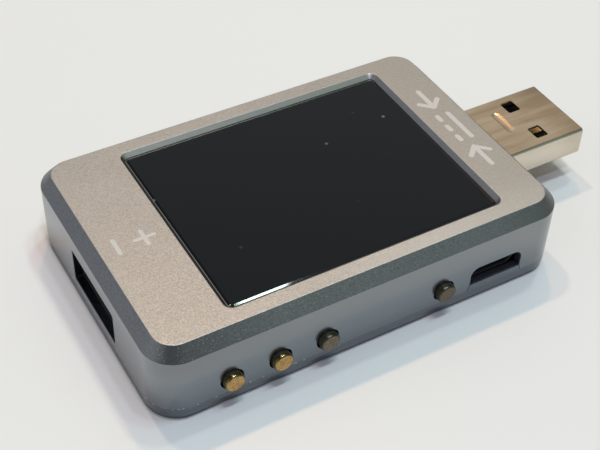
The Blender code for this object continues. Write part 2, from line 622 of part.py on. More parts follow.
def build_board():
    width = BOARD_BACK_Y - BOARD_FRONT_Y
    centre = (0.0, (BOARD_BACK_Y + BOARD_FRONT_Y) / 2)
    board = prism("main_board", rounded_rectangle(BOARD_LENGTH, width, BOARD_RADIUS, centre, CORNER_STEPS),
                  BOARD_BOTTOM_Z, BOARD_TOP_Z, material="board_green")
    for number, place in boss_places():
        clear = BOSS_RADIUS + BOARD_BOSS_CLEARANCE
        cut(board, turned(f"board_notch_{number}", [(clear, 0.0), (clear, BODY_HEIGHT)], place, "Z"))

    # name, material, centre x and y, length, width and height of each part on the board
    parts = (
        ("mcu_chip", "chip_black", -6.0, 6.0, 7.0, 7.0, 0.9),
        ("meter_chip", "chip_black", 6.0, 6.5, 5.0, 5.0, 0.8),
        ("memory_chip", "chip_black", -6.0, 14.5, 5.2, 4.0, 1.5),
        ("regulator_chip", "chip_black", 4.0, -8.0, 3.0, 3.0, 1.0),
        ("crystal", "nickel_steel", 1.0, 13.5, 3.2, 2.5, 0.8),
        ("shunt_resistor", "ceramic_tan", 14.5, 0.0, 6.3, 3.2, 0.7),
        ("power_inductor", "chip_black", -2.0, -8.0, 4.0, 4.0, 2.0),
        ("bulk_capacitor_1", "ceramic_tan", -10.5, -6.5, 3.2, 2.5, 1.6),
        ("bulk_capacitor_2", "ceramic_tan", 9.0, -8.0, 3.2, 2.5, 1.6),
    )
    base_z = BOARD_TOP_Z + GAP
    for name, material, x, y, length, breadth, height in parts:
        box(name, (x - length / 2, y - breadth / 2, base_z),
            (x + length / 2, y + breadth / 2, base_z + height), material, PART_EDGE)


def main():
    for old in list(bpy.data.objects):
        bpy.data.objects.remove(old, do_unlink=True)
    build_top_shell()
    build_bottom_cover()
    build_screws()
    build_display()
    build_usb_plug()
    build_usb_socket()
    build_side_port()
    build_buttons()
    build_board()


main()
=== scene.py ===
"""Looks of the USB power meter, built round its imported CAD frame.

Sizes in the code are in millimetres and are turned into metres where meshes are made.
"""
import math

import bmesh
import bpy
from mathutils import Matrix, Vector


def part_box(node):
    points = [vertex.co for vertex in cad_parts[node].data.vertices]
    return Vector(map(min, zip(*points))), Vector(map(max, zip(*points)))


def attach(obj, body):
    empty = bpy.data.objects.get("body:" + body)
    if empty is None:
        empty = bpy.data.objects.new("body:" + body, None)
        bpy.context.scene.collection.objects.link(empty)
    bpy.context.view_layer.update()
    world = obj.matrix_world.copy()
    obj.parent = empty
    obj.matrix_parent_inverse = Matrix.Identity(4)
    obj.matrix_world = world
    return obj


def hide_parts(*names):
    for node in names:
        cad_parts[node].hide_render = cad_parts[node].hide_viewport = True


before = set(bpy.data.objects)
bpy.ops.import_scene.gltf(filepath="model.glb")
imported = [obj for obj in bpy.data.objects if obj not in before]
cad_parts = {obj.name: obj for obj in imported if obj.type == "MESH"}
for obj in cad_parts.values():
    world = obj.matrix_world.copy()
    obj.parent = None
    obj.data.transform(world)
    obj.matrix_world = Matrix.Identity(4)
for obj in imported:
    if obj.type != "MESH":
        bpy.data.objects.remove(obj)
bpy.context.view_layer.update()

MM = 0.001
ROOT = "housing"
CORNER_STEPS = 20               # segments in a quarter turn of the housing's plan
FILLET_STEPS = 4


def span(node):
    """Lowest and highest corner of a CAD node, in millimetres."""
    low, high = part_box(node)
    return [value / MM for value in low], [value / MM for value in high]


def middle_of(node):
    low, high = span(node)
    return (low[0] + high[0]) / 2, (low[1] + high[1]) / 2


# --- Sizes ---

shell_low, shell_high = span("top_shell")
cover_high = span("bottom_cover")[1]
glass_low, glass_high = span("cover_glass")
plug_low, plug_high = span("usb_plug_shell")
socket_low, socket_high = span("usb_socket_shell")
port_low, port_high = span("side_port_shell")

BODY_LENGTH = shell_high[0] - shell_low[0]
BODY_WIDTH = shell_high[1] - shell_low[1]
BODY_TOP = shell_high[2]
FRONT_Y = shell_low[1]
CORNER_RADIUS = 4.4
CHAMFER_WIDTH = 1.55
CHAMFER_DROP = 1.7
WALL = 1.2
CEILING_Z = 9.9                 # underside of the top plate
SEAM_Z = 2.0                    # parting line between shell and cover
SEAM_GAP = 0.01
SEAM_EDGE = 0.02
FLOOR_THICKNESS = 1.0
BASE_EDGE = 0.3
BASE_TAPER = 1.1                # height of the cover's tapered foot
EDGE_BREAK = 0.08               # chamfer round the openings
OVERSHOOT = 1.0                 # how far a cutter runs past the surface that it opens
FLAT_STRIP = 0.4                # strip of a flat face beside its edge, with a loop of its own

WINDOW_CENTRE_X = (glass_low[0] + glass_high[0]) / 2
WINDOW_SLOPE = 0.6              # the window's wall runs in by this and down by this
GLASS_EDGE = 0.65               # from the window's upper edge in to the CAD glass
GLASS_PLAY = 0.02               # from the window's lower edge in to the visible glass
WINDOW_LENGTH = glass_high[0] - glass_low[0] + 2 * GLASS_EDGE
WINDOW_WIDTH = glass_high[1] - glass_low[1] + 2 * GLASS_EDGE
WINDOW_RADIUS = 1.3
LEDGE_WIDTH = 1.1
SEAT_Z = glass_low[2] - 0.25    # the ledge under the glass and its gasket
GROUND_EDGE = 0.09
GLASS_BEVEL_WIDTH = 0.32
GLASS_BEVEL_DROP = 0.08

# Signs etched in the top plate
MARK_DEPTH = 0.02
MARK_DEPTH_STEP = 0.0013        # each stroke is this much deeper, so that no two floors coincide
WIDE_STROKE = 0.75
THIN_STROKE = 0.6
PLUG_MARK_X = 25.2
ARROW_TIP_Y = 4.9
ARROW_TAIL_Y = 9.0
ARROW_WING = (1.55, 1.5)        # reach of an arrow's wing sideways and back from its tip
DC_LINE = (1.0, 2.9)            # offset and half length of the direct-current sign's line
DC_DASHES_X = -0.8
DC_DASHES_Y = (-2.45, 0.0, 2.45)
DC_DASH_HALF = 0.45
PLUS_X = -22.3
MINUS_X = -26.1
POLE_MARK_Y = -0.1
POLE_MARK_HALF = 1.3

PLUG_WIDTH = 12.0
PLUG_HEIGHT = 4.5
PLUG_CENTRE_Z = 6.27
PLUG_HOLE_CLEARANCE = 0.1
PLUG_RADIUS = 0.55
PLUG_SHEET = 0.3
PLUG_WINDOW = (2.0, 2.4)
PLUG_WINDOW_RADIUS = 0.3
PLUG_WINDOW_X = 38.2
PLUG_WINDOW_Y = 3.3
PLUG_DIMPLE = ((35.0, 2.5), (35.0, -1.2), 1.35)   # start, end and width
PLUG_DIMPLE_DEPTH = 0.13
PLUG_TONGUE_HEIGHT = 1.85
PLUG_TONGUE_RAMP = (0.5, 0.4)   # length and height of the ramp on the tongue's tip
PLUG_BLOCK_REACH = 1.2          # the core's thick root passes the end face by this

SOCKET_CENTRE = (-0.4, 5.3)
SOCKET_MOUTH = (13.2, 5.2)
SOCKET_MOUTH_RADIUS = 0.4
SOCKET_RADIUS = 0.6
SOCKET_SHEET = 0.3
SOCKET_TONGUE_LIFT = 0.75       # the tongue's centre above the socket's
SOCKET_TONGUE_THICKNESS = 1.84
SOCKET_TONGUE_CHAMFER = 0.4
SOCKET_BLOCK_LENGTH = 3.6
SPRING_Y = 3.2                  # from the socket's centre line to a spring's
SPRING_WIDTH = 2.2
SPRING_SHEET = 0.15
SPRING_PATH = ((-27.4, 0.0), (-26.6, 0.32), (-25.9, 0.42), (-24.8, 0.25), (-22.5, 0.0))   # X, rise

PORT_CENTRE_X = (port_low[0] + port_high[0]) / 2
PORT_MOUTH_WIDTH = 8.1
PORT_MOUTH_FLARE = 0.3
PORT_SILL_Z = cover_high[2]
PORT_TOP_Z = 5.75
PORT_CORNER = 1.3
PORT_HEIGHT = 2.6
PORT_SHEET = 0.25
PORT_SHELL_CORNER = 0.5
PORT_SHELL_CUT = 0.9            # the sleeve's lower corners are cut away by this
PORT_TONGUE_HEIGHTS = (-0.05, 0.55)   # underside and top from the middle of the mouth
PORT_BLOCK_LENGTH = 1.1
PORT_CONTACT_PITCH = 0.65
PORT_CONTACT_WIDTH = 0.3
PORT_CONTACT_THICKNESS = 0.07

BUTTON_Z = 4.1
BUTTON_HOLE_RADIUS = 1.55
BUTTON_RADIUS = 1.38
BUTTON_SHOULDER = (0.17, 0.42)  # inwards and along the cap
BUTTON_DISH = ((0.12, 0.03, 0), (0.75, 0.022, 0.2))   # radius, depth and fillet
BUTTON_FACE_EDGE = 0.04
FLANGE_RADIUS = 1.85
FLANGE_CLEARANCE = 0.1
BRIGHT_BUTTONS = (1, 2)         # the other two get a darker, duller brass

HEAD_SEAT_RADIUS = 1.75
SHANK_HOLE_RADIUS = 0.9
SCREW_HEAD_RADIUS = 1.7
SCREW_RADIUS = 0.8
SCREW_POINT = (0.55, 5.6)       # radius, and height where it begins
RECESS_RADIUS = 0.62            # middle radius of a screw's six-lobe recess
RECESS_LOBE = 0.12
RECESS_DEPTH = 0.6


# --- Outlines and profiles ---

def arc(centre, radius, start, end, steps):
    """Points of an arc from the angle start to the angle end, both in degrees."""
    angles = [math.radians(start + (end - start) * i / steps) for i in range(steps + 1)]
    return [(centre[0] + radius * math.cos(a), centre[1] + radius * math.sin(a)) for a in angles]


def rounded_rectangle(length, width, radius, centre=(0.0, 0.0), steps=CORNER_STEPS):
    """Rectangle with round corners, anticlockwise."""
    points = []
    for sign_u, sign_v, start in ((1, 1, 0), (-1, 1, 90), (-1, -1, 180), (1, -1, 270)):
        corner = (centre[0] + sign_u * (length / 2 - radius), centre[1] + sign_v * (width / 2 - radius))
        points += arc(corner, radius, start, start + 90, steps)
    return points


def circle(radius, centre, steps=64):
    return arc(centre, radius, 0, 360, steps)[:-1]


def capsule(start, end, width):
    """Outline of a stroke with round ends."""
    steps = 8
    angle = math.degrees(math.atan2(end[1] - start[1], end[0] - start[0]))
    far_end = arc(end, width / 2, angle - 90, angle + 90, steps)
    return far_end + arc(start, width / 2, angle + 90, angle + 270, steps)


def filleted(corners, steps=FILLET_STEPS):
    """An open profile through (inset, level, fillet) corners, with round transitions."""
    points = [Vector(corners[0][:2])]
    for before, corner, after in zip(corners, corners[1:], corners[2:]):
        here = Vector(corner[:2])
        towards = (Vector(before[:2]) - here).normalized()
        away = (Vector(after[:2]) - here).normalized()
        reach = corner[2]
        if not reach:
            points.append(here)
            continue
        for i in range(steps + 1):
            t = i / steps
            a, b = here + towards * reach, here + away * reach
            points.append(a * (1 - t) ** 2 + here * 2 * t * (1 - t) + b * t ** 2)
    points.append(Vector(corners[-1][:2]))
    return [tuple(point) for point in points]


def body_outline(inset):
    return rounded_rectangle(BODY_LENGTH - 2 * inset, BODY_WIDTH - 2 * inset, CORNER_RADIUS - inset)


def window_outline(inset):
    least_radius = 0.35
    return rounded_rectangle(WINDOW_LENGTH - 2 * inset, WINDOW_WIDTH - 2 * inset,
                             max(WINDOW_RADIUS - inset, least_radius), (WINDOW_CENTRE_X, 0.0))


# --- Meshes ---

def to_space(point, level, along):
    """A point of an outline whose plane is at that level along an axis, in metres."""
    u, v = point
    return Vector({"X": (level, u, v), "Y": (u, level, v), "Z": (u, v, level)}[along]) * MM


def skin(name, rings, along="Z", closed=False, bands=None):
    """A solid through rings of (outline, level). bands gives the material index of each band."""
    mesh = bmesh.new()
    loops = [[mesh.verts.new(to_space(p, level, along)) for p in outline] for outline, level in rings]
    pairs = list(zip(loops, loops[1:]))
    if closed:
        pairs.append((loops[-1], loops[0]))
    for band, (lower, upper) in enumerate(pairs):
        for i in range(len(lower)):
            after = (i + 1) % len(lower)
            face = mesh.faces.new((lower[i], lower[after], upper[after], upper[i]))
            face.material_index = bands[band] if bands else 0
    if not closed:
        mesh.faces.new(loops[0]).material_index = bands[0] if bands else 0
        mesh.faces.new(loops[-1]).material_index = bands[-1] if bands else 0
    bmesh.ops.recalc_face_normals(mesh, faces=mesh.faces)
    data = bpy.data.meshes.new(name)
    mesh.to_mesh(data)
    mesh.free()
    solid = bpy.data.objects.new(name, data)
    bpy.context.collection.objects.link(solid)
    return solid


def prism(name, outline, low, high, along="Z"):
    """A solid with one outline from end to end."""
    return skin(name, [(outline, low), (outline, high)], along)


def round_edges(solid, width):
    bevel = solid.modifiers.new("round_edges", "BEVEL")
    bevel.width = width * MM
    bevel.segments = 2
    bevel.limit_method = "ANGLE"
    bevel.angle_limit = math.radians(40)


def block(name, low, high, edge=0.05):
    """A block with round edges."""
    corners = [(low[0], low[1]), (high[0], low[1]), (high[0], high[1]), (low[0], high[1])]
    solid = prism(name, corners, low[2], high[2])
    round_edges(solid, edge)
    return solid


def cut(target, tool, index=None):
    """Cuts the tool out of the target and removes it. index is the material of the new faces."""
    if index is not None:
        for look in target.data.materials:
            tool.data.materials.append(look)
        for face in tool.data.polygons:
            face.material_index = index
    step = target.modifiers.new("cut", "BOOLEAN")
    step.operation = "DIFFERENCE"
    step.solver = "EXACT"
    step.object = tool
    with bpy.context.temp_override(object=target, active_object=target):
        bpy.ops.object.modifier_apply(modifier=step.name)
    data = tool.data
    bpy.data.objects.remove(tool)
    bpy.data.meshes.remove(data)


def smooth(solid, angle):
    """Smooth shading with sharp edges kept, and flat faces kept flat."""
    solid.data.shade_smooth()
    solid.data.set_sharp_from_angle(angle=math.radians(angle))
    weighted = solid.modifiers.new("flat_faces", "WEIGHTED_NORMAL")
    weighted.keep_sharp = True


def dress(solid, materials, body=ROOT, replaces=(), angle=32):
    """Gives a piece its materials, its body and the CAD nodes that it stands for."""
    smooth(solid, angle)
    if not solid.data.materials:
        for item in materials:
            solid.data.materials.append(item)
    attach(solid, body)
    if replaces:
        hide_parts(*replaces)


# --- Materials ---

class Look:
    """A Principled material with helpers for procedural detail in object space."""

    def __init__(self, name, colour, metallic, roughness, **inputs):
        self.material = bpy.data.materials.new(name)
        self.material.use_nodes = True
        self.nodes = self.material.node_tree.nodes
        self.links = self.material.node_tree.links
        self.shader = self.nodes["Principled BSDF"]
        self.set("Base Color", (*colour, 1.0))
        self.set("Metallic", metallic)
        self.set("Roughness", roughness)
        for key, value in inputs.items():
            self.set(key.replace("_", " "), value)
        self.place = self.nodes.new("ShaderNodeTexCoord").outputs["Object"]

    def feed(self, socket, value):
        """Sets an input to a value or links it to a node's output."""
        if isinstance(value, bpy.types.NodeSocket):
            self.links.new(value, socket)
        else:
            socket.default_value = value

    def set(self, name, value):
        self.feed(self.shader.inputs[name], value)

    def stretch(self, scale):
        """The place scaled per axis, for streaks."""
        node = self.nodes.new("ShaderNodeMapping")
        node.inputs["Scale"].default_value = scale
        self.links.new(self.place, node.inputs["Vector"])
        return node.outputs["Vector"]

    def noise(self, size, detail, rough=0.5, place=None):
        """Noise whose features are about size millimetres."""
        node = self.nodes.new("ShaderNodeTexNoise")
        node.inputs["Scale"].default_value = 1.0 / (size * MM)
        node.inputs["Detail"].default_value = detail
        node.inputs["Roughness"].default_value = rough
        self.links.new(place or self.place, node.inputs["Vector"])
        return node.outputs["Fac"]

    def specks(self, spacing, radius, share, dimensions="3D"):
        """Round specks of radius millimetres, from 0 to 1, in a share of the cells of that spacing."""
        node = self.nodes.new("ShaderNodeTexVoronoi")
        node.voronoi_dimensions = dimensions
        node.inputs["Scale"].default_value = 1.0 / (spacing * MM)
        self.links.new(self.place, node.inputs["Vector"])
        split = self.nodes.new("ShaderNodeSeparateColor")
        self.links.new(node.outputs["Color"], split.inputs["Color"])
        near = self.remap(node.outputs["Distance"], 0.4 * radius / spacing, radius / spacing, 1.0, 0.0)
        return self.product(near, self.remap(split.outputs["Red"], 1.0 - share, 1.0, 0.0, 1.0))

    def part_of(self, vector, axis):
        """One component of a vector."""
        split = self.nodes.new("ShaderNodeSeparateXYZ")
        self.links.new(vector, split.inputs["Vector"])
        return split.outputs[axis]

    def along(self, axis, start, end):
        """0 up to one place along an axis, 1 from the other, in millimetres."""
        return self.remap(self.part_of(self.place, axis), start * MM, end * MM, 0.0, 1.0)

    def near_height(self, height, reach):
        """1 at a height in millimetres, 0 from reach above and below it."""
        above = self.math("SUBTRACT", self.part_of(self.place, "Z"), height * MM)
        away = self.math("ABSOLUTE", above, 0.0)
        return self.remap(away, 0.5 * reach * MM, reach * MM, 1.0, 0.0)

    def facing(self, axis, low, high):
        """0 to 1 as the part of the surface normal along an axis goes from low to high."""
        normal = self.nodes["Texture Coordinate"].outputs["Normal"]
        return self.remap(self.part_of(normal, axis), low, high, 0.0, 1.0)

    def remap(self, value, low, high, new_low, new_high):
        """Takes low to new_low and high to new_high, and holds beyond them."""
        node = self.nodes.new("ShaderNodeMapRange")
        limits = (("From Min", low), ("From Max", high), ("To Min", new_low), ("To Max", new_high))
        for name, number in limits:
            node.inputs[name].default_value = number
        self.links.new(value, node.inputs["Value"])
        return node.outputs["Result"]

    def math(self, operation, first, second):
        """Arithmetic on outputs or numbers."""
        node = self.nodes.new("ShaderNodeMath")
        node.operation = operation
        for socket, value in zip(node.inputs, (first, second)):
            self.feed(socket, value)
        return node.outputs["Value"]

    def product(self, first, second):
        return self.math("MULTIPLY", first, second)

    def mix(self, factor, first, second):
        """The first colour where factor is 0, the second where it is 1."""
        node = self.nodes.new("ShaderNodeMix")
        node.data_type = "RGBA"
        sockets = [s for s in node.inputs if s.type == "RGBA"]
        self.links.new(factor, node.inputs[0])
        for socket, value in zip(sockets, (first, second)):
            self.feed(socket, (*value, 1.0) if isinstance(value, tuple) else value)
        return [s for s in node.outputs if s.type == "RGBA"][0]

    def tint(self, factor, colour):
        """Mixes a colour over the base colour."""
        plain = self.shader.inputs["Base Color"].links[0].from_socket
        self.set("Base Color", self.mix(factor, plain, colour))

    def vary_roughness(self, size, detail, low, high):
        """Roughness that wanders from low to high in patches of about size millimetres."""
        self.set("Roughness", self.remap(self.noise(size, detail), 0.3, 0.7, low, high))

    def bump(self, height, depth):
        """Relief of depth millimetres."""
        node = self.nodes.new("ShaderNodeBump")
        node.inputs["Strength"].default_value = 1.0
        node.inputs["Distance"].default_value = depth * MM
        self.links.new(height, node.inputs["Height"])
        self.set("Normal", node.outputs["Normal"])


def blasted_metal(name, dark, light, roughness, relief=0.02, metallic=0.75):
    """Bead-blasted anodised aluminium: grain with small dark pits and slow mottling."""
    look = Look(name, light, metallic, roughness)
    fine = look.noise(0.18, 2.0, 0.6)
    mottle = look.noise(9.0, 2.0)
    grain = look.remap(fine, 0.34, 0.6, 0.0, 0.85)
    level = look.math("ADD", grain, look.remap(mottle, 0.3, 0.7, 0.0, 0.15))
    look.set("Base Color", look.mix(level, dark, light))
    look.set("Roughness", look.remap(fine, 0.3, 0.7, roughness + 0.05, roughness - 0.05))
    look.bump(fine, relief)
    return look


def satin_metal(name, dark, light, low_z, high_z, roughness):
    """Smooth anodised aluminium with painted shade, darker towards the foot, under the rim and low on the
    left end, and small painted glints along the seam.
    """
    look = Look(name, light, 1.0, roughness)
    # Painted shade: the colour darkens towards the foot, for the dark table near the wall that the lower
    # faces reflect.
    height = look.product(look.along("Z", low_z, high_z), 0.8)
    cloud = look.remap(look.noise(14.0, 2.0), 0.3, 0.7, 0.0, 0.12)
    fine = look.noise(0.25, 1.0)
    grain = look.remap(fine, 0.3, 0.7, 0.0, 0.08)
    level = look.math("ADD", height, look.math("ADD", cloud, grain))
    look.set("Base Color", look.mix(level, dark, light))
    # Painted shade low on the left end of the walls.
    corner = look.product(look.along("X", -25.0, -29.0), look.along("Z", 4.5, 2.0))
    look.tint(look.product(corner, 0.4), (0.08, 0.09, 0.10))
    # Painted shade under the rim: the top of the front wall left of the middle, and of the left wall
    # towards its far end, is darkened.
    front = look.product(look.facing("Y", -0.2, -0.6), look.along("X", -8.0, -24.0))
    end = look.product(look.facing("X", -0.4, -0.6), look.along("Y", 4.0, 12.0))
    painted_rim_shade = look.product(look.math("MAXIMUM", front, end), look.along("Z", 7.0, 9.5))
    look.tint(look.product(painted_rim_shade, 0.22), (0.15, 0.16, 0.17))
    # Painted glints: bright specks along the seam, on the left part of the walls.
    painted_seam_glints = look.product(look.specks(0.36, 0.17, 0.8), look.near_height(SEAM_Z + 0.06, 0.16))
    look.tint(look.product(painted_seam_glints, look.along("X", -3.0, -10.0)), (0.85, 0.88, 0.92))
    look.bump(fine, 0.0008)
    return look


def add_painted_glints(look, colour):
    """Painted glints: bright specks on faces that look to the front, for lamp highlights in the grain,
    coarser towards the left.
    """
    glint_specks = look.math("MAXIMUM", look.specks(0.30, 0.10, 0.6), look.specks(0.21, 0.06, 0.5))
    coarse = look.math("SUBTRACT", 1.0, look.product(look.along("X", -10.0, 22.0), 0.8))
    where = look.product(look.facing("Y", -0.2, -0.6), coarse)
    look.tint(look.product(glint_specks, where), colour)


def housing_looks():
    """Anodised aluminium of the plate, its bevel and window slope, the walls, the inside and the signs,
    with painted light and shade in several of them.
    """
    plate = blasted_metal("plate_metal", (0.285, 0.285, 0.285), (0.405, 0.405, 0.405), 0.45, 0.03)
    # Painted sheen: the plate is made lighter along its front strip, towards the right.
    painted_front_sheen = plate.product(plate.along("Y", -13.0, -17.0), plate.along("X", -8.0, 10.0))
    plate.tint(plate.product(painted_front_sheen, 0.40), (0.53, 0.54, 0.55))
    plate.tint(plate.product(plate.along("X", 8.0, 26.0), 0.5), (0.355, 0.342, 0.310))
    bevel = blasted_metal("bevel_metal", (0.165, 0.178, 0.180), (0.27, 0.29, 0.292), 0.38)
    # Painted shade: the bevel is darkened towards its left end, most where it faces the front, and towards
    # its right end.
    ahead = bevel.math("MAXIMUM", bevel.facing("Y", -0.2, -0.6), 0.5)
    left = bevel.product(bevel.along("X", -13.0, -27.0), 0.6)
    bevel.tint(bevel.product(left, ahead), (0.10, 0.105, 0.11))
    bevel.tint(bevel.product(bevel.along("X", 19.0, 27.0), 0.55), (0.10, 0.11, 0.11))
    add_painted_glints(bevel, (0.50, 0.52, 0.54))
    slope = blasted_metal("window_slope_metal", (0.23, 0.24, 0.235), (0.31, 0.32, 0.315), 0.4,
                          relief=0.01, metallic=1.0)
    # Painted shade where the slope faces +X, on the left of the window, and painted light where it faces
    # the front.
    slope.tint(slope.facing("X", 0.4, 0.6), (0.12, 0.12, 0.115))
    slope.tint(slope.facing("Y", -0.4, -0.6), (0.52, 0.52, 0.48))
    side = satin_metal("side_metal", (0.223, 0.237, 0.250), (0.278, 0.294, 0.309), 2.0, 7.0, 0.22)
    # The cover is coloured darker than the walls: painted shade for the dark table that its foot reflects.
    base = satin_metal("base_metal", (0.120, 0.130, 0.140), (0.222, 0.236, 0.250), 0.6, 2.4, 0.24)
    # Painted shade: the inside, which also lines the port's notch, is a dark bluish tone.
    inside = blasted_metal("inside_metal", (0.07, 0.076, 0.095), (0.09, 0.097, 0.115), 0.6)
    etched = Look("etched_mark", (0.60, 0.58, 0.54), 0.25, 0.6)
    etched.set("Base Color", etched.mix(etched.noise(0.2, 3.0), (0.50, 0.485, 0.46), (0.60, 0.585, 0.56)))
    etched.bump(etched.noise(0.12, 2.0), 0.01)
    return {"plate": plate, "bevel": bevel, "slope": slope, "side": side, "base": base,
            "inside": inside, "etched": etched}


def glass_looks():
    """Black cover glass with a few specks of dust, and its ground edge, painted light where it faces left
    and dark elsewhere.
    """
    black = (0.005, 0.0058, 0.0075)
    glass = Look("black_glass", black, 0.0, 0.04, Specular_IOR_Level=0.19)
    dust = glass.specks(9.0, 0.30, 0.42, "2D")
    glass.set("Base Color", glass.mix(dust, black, (0.14, 0.15, 0.17)))
    glass.set("Roughness", glass.remap(glass.noise(6.0, 3.0), 0.3, 0.8, 0.03, 0.07))
    edge = Look("ground_glass_edge", (0.22, 0.22, 0.20), 0.0, 0.5)
    frosted = edge.mix(edge.noise(2.5, 1.0), (0.20, 0.20, 0.19), (0.34, 0.34, 0.32))
    # Painted light and shade: the ground edge is light where it faces -X, on the left of the window, and
    # near black elsewhere.
    edge.set("Base Color", edge.mix(edge.facing("X", -0.3, -0.6), (0.02, 0.02, 0.02), frosted))
    return {"glass": glass, "glass_edge": edge}


def button_looks():
    """Turned brass in a bright and a darker, duller tone; the caps' shoulders in darker brass and their
    near-black stems, both painted shade.
    """
    made = {}
    for name, dark, light in (("brass", (0.35, 0.19, 0.063), (0.69, 0.43, 0.168)),
                              ("dull_brass", (0.148, 0.112, 0.083), (0.240, 0.190, 0.140))):
        look = Look(name, light, 1.0, 0.4)
        patches = look.remap(look.noise(0.35, 3.0, 0.6), 0.3, 0.62, 0.0, 1.0)
        look.set("Base Color", look.mix(patches, dark, light))
        look.tint(look.product(look.along("X", 0.0, 5.0), 0.6), dark)
        look.vary_roughness(0.25, 2.0, 0.3, 0.5)
        look.bump(look.noise(0.3, 2.0, 0.6), 0.045)
        made[name] = look
    # Painted shade: the shoulders are a darker brass than the faces, for the dark surroundings that they
    # reflect.
    for name, colour, roughness in (("brass_shoulder", (0.20, 0.165, 0.065), 0.2),
                                    ("dull_shoulder", (0.095, 0.085, 0.06), 0.36)):
        rim = Look(name, colour, 1.0, roughness)
        rim.vary_roughness(0.3, 2.0, roughness - 0.04, roughness + 0.06)
        made[name] = rim
    # Painted shade: the stems are near black, for the dark surroundings that their sides reflect.
    stem = Look("painted_shade_stem", (0.018, 0.017, 0.012), 0.0, 0.3)
    stem.set("Base Color", stem.mix(stem.noise(0.5, 2.0), (0.025, 0.024, 0.017), (0.05, 0.047, 0.03)))
    stem.vary_roughness(0.4, 2.0, 0.22, 0.38)
    made["stem"] = stem
    return made


def metal_looks():
    """Plated and bare metal of the connectors and screws, with a painted reflection on upward nickel faces
    and a dark sleeve finish that is painted shade.
    """
    made = {}
    nickel = Look("nickel_plate", (0.66, 0.60, 0.52), 1.0, 0.22)
    streaks = nickel.noise(0.25, 3.0, place=nickel.stretch((0.06, 1.0, 1.0)))
    patches = nickel.noise(1.6, 3.0, place=nickel.stretch((0.15, 1.0, 1.0)))
    wear = nickel.remap(patches, 0.35, 0.65, 0.0, 1.0)
    wear = nickel.math("SUBTRACT", wear, nickel.product(nickel.along("X", 40.0, 43.5), 0.6))
    # Painted reflection: faces that look up get a darker, warmer copy of the nickel, for the warm room they
    # reflect; both copies carry the wear patches.
    bright = nickel.mix(wear, (0.65, 0.57, 0.475), (0.75, 0.67, 0.57))
    painted_top_reflection = nickel.mix(wear, (0.42, 0.32, 0.215), (0.63, 0.51, 0.37))
    nickel.set("Base Color", nickel.mix(nickel.facing("Z", 0.6, 0.8), bright, painted_top_reflection))
    corner = nickel.product(nickel.along("X", 39.0, 44.0), nickel.along("Y", 1.0, 5.0))
    nickel.tint(nickel.product(corner, 0.6), (0.28, 0.22, 0.16))
    nickel.set("Roughness", nickel.remap(wear, 0.0, 1.0, 0.26, 0.20))
    nickel.bump(streaks, 0.0002)
    made["nickel"] = nickel
    # The steel finish is for the screws; the dark sleeve finish is painted shade, a dull near-black for the
    # shade in the socket and port mouths.
    for name, grey, metallic, roughness in (("steel", 0.16, 0.9, 0.4), ("painted_shade_steel", 0.065, 0.1, 0.7)):
        look = Look(f"{name}_finish", (grey, grey * 1.1, grey * 1.25), metallic, roughness)
        look.vary_roughness(0.3, 3.0, roughness - 0.1, roughness + 0.1)
        made[name] = look
    gold = Look("gold_plate", (0.90, 0.64, 0.28), 1.0, 0.2)
    gold.vary_roughness(0.4, 2.0, 0.15, 0.3)
    made["gold"] = gold
    return made


def plain_looks():
    """Plastics, film, foam and the pieces on the board."""
    made = {}
    for name, dark, light, roughness in (
            ("black_plastic", (0.035, 0.040, 0.046), (0.048, 0.055, 0.062), 0.6),
            ("foam", (0.008, 0.008, 0.008), (0.014, 0.014, 0.014), 0.9),
            ("board", (0.012, 0.08, 0.035), (0.02, 0.11, 0.05), 0.35),
            ("white_plastic", (0.70, 0.70, 0.67), (0.78, 0.78, 0.75), 0.5),
            ("film", (0.36, 0.17, 0.04), (0.48, 0.24, 0.06), 0.3),
            ("resin", (0.022, 0.022, 0.023), (0.034, 0.034, 0.035), 0.6),
            ("ceramic", (0.38, 0.28, 0.18), (0.50, 0.37, 0.25), 0.6)):
        look = Look(name, light, 0.0, roughness)
        look.set("Base Color", look.mix(look.noise(0.8, 3.0), dark, light))
        look.vary_roughness(0.5, 2.0, roughness - 0.05, roughness + 0.05)
        look.bump(look.noise(0.15, 2.0), 0.003)
        made[name] = look
    return made


def make_materials():
    looks = housing_looks() | glass_looks() | button_looks() | metal_looks() | plain_looks()
    return {name: look.material for name, look in looks.items()}


# --- Housing ---

SHELL_LOOKS = ("side", "bevel", "plate", "etched", "inside", "slope")
SIDE, BEVEL, PLATE, ETCHED, INSIDE, SLOPE = range(6)


def opening_cutter(name, outline_at, surface, inner, outer, along):
    """Cutter for an opening whose edge is broken where it meets the surface."""
    inward = 1.0 if inner > outer else -1.0
    rings = [
        (outline_at(EDGE_BREAK), outer),
        (outline_at(EDGE_BREAK), surface),
        (outline_at(0.0), surface + inward * EDGE_BREAK),
        (outline_at(0.0), inner),
    ]
    return skin(name, rings, along)


def port_notch(grow):
    """Mouth of the side port: upright sides, round top corners and a foot that flares out."""
    bottom_z = SEAM_Z - OVERSHOOT / 2
    half = PORT_MOUTH_WIDTH / 2 + grow
    flare = PORT_MOUTH_FLARE / (PORT_SILL_Z - SEAM_Z)
    foot = half + flare * (PORT_SILL_Z - bottom_z)
    top = PORT_TOP_Z + grow
    corner_z = top - PORT_CORNER
    outline = [(PORT_CENTRE_X - foot, bottom_z), (PORT_CENTRE_X + foot, bottom_z)]
    outline.append((PORT_CENTRE_X + half, PORT_SILL_Z))
    outline += arc((PORT_CENTRE_X + half - PORT_CORNER, corner_z), PORT_CORNER, 0, 90, 12)
    outline += arc((PORT_CENTRE_X - half + PORT_CORNER, corner_z), PORT_CORNER, 90, 180, 12)
    outline.append((PORT_CENTRE_X - half, PORT_SILL_Z))
    return outline


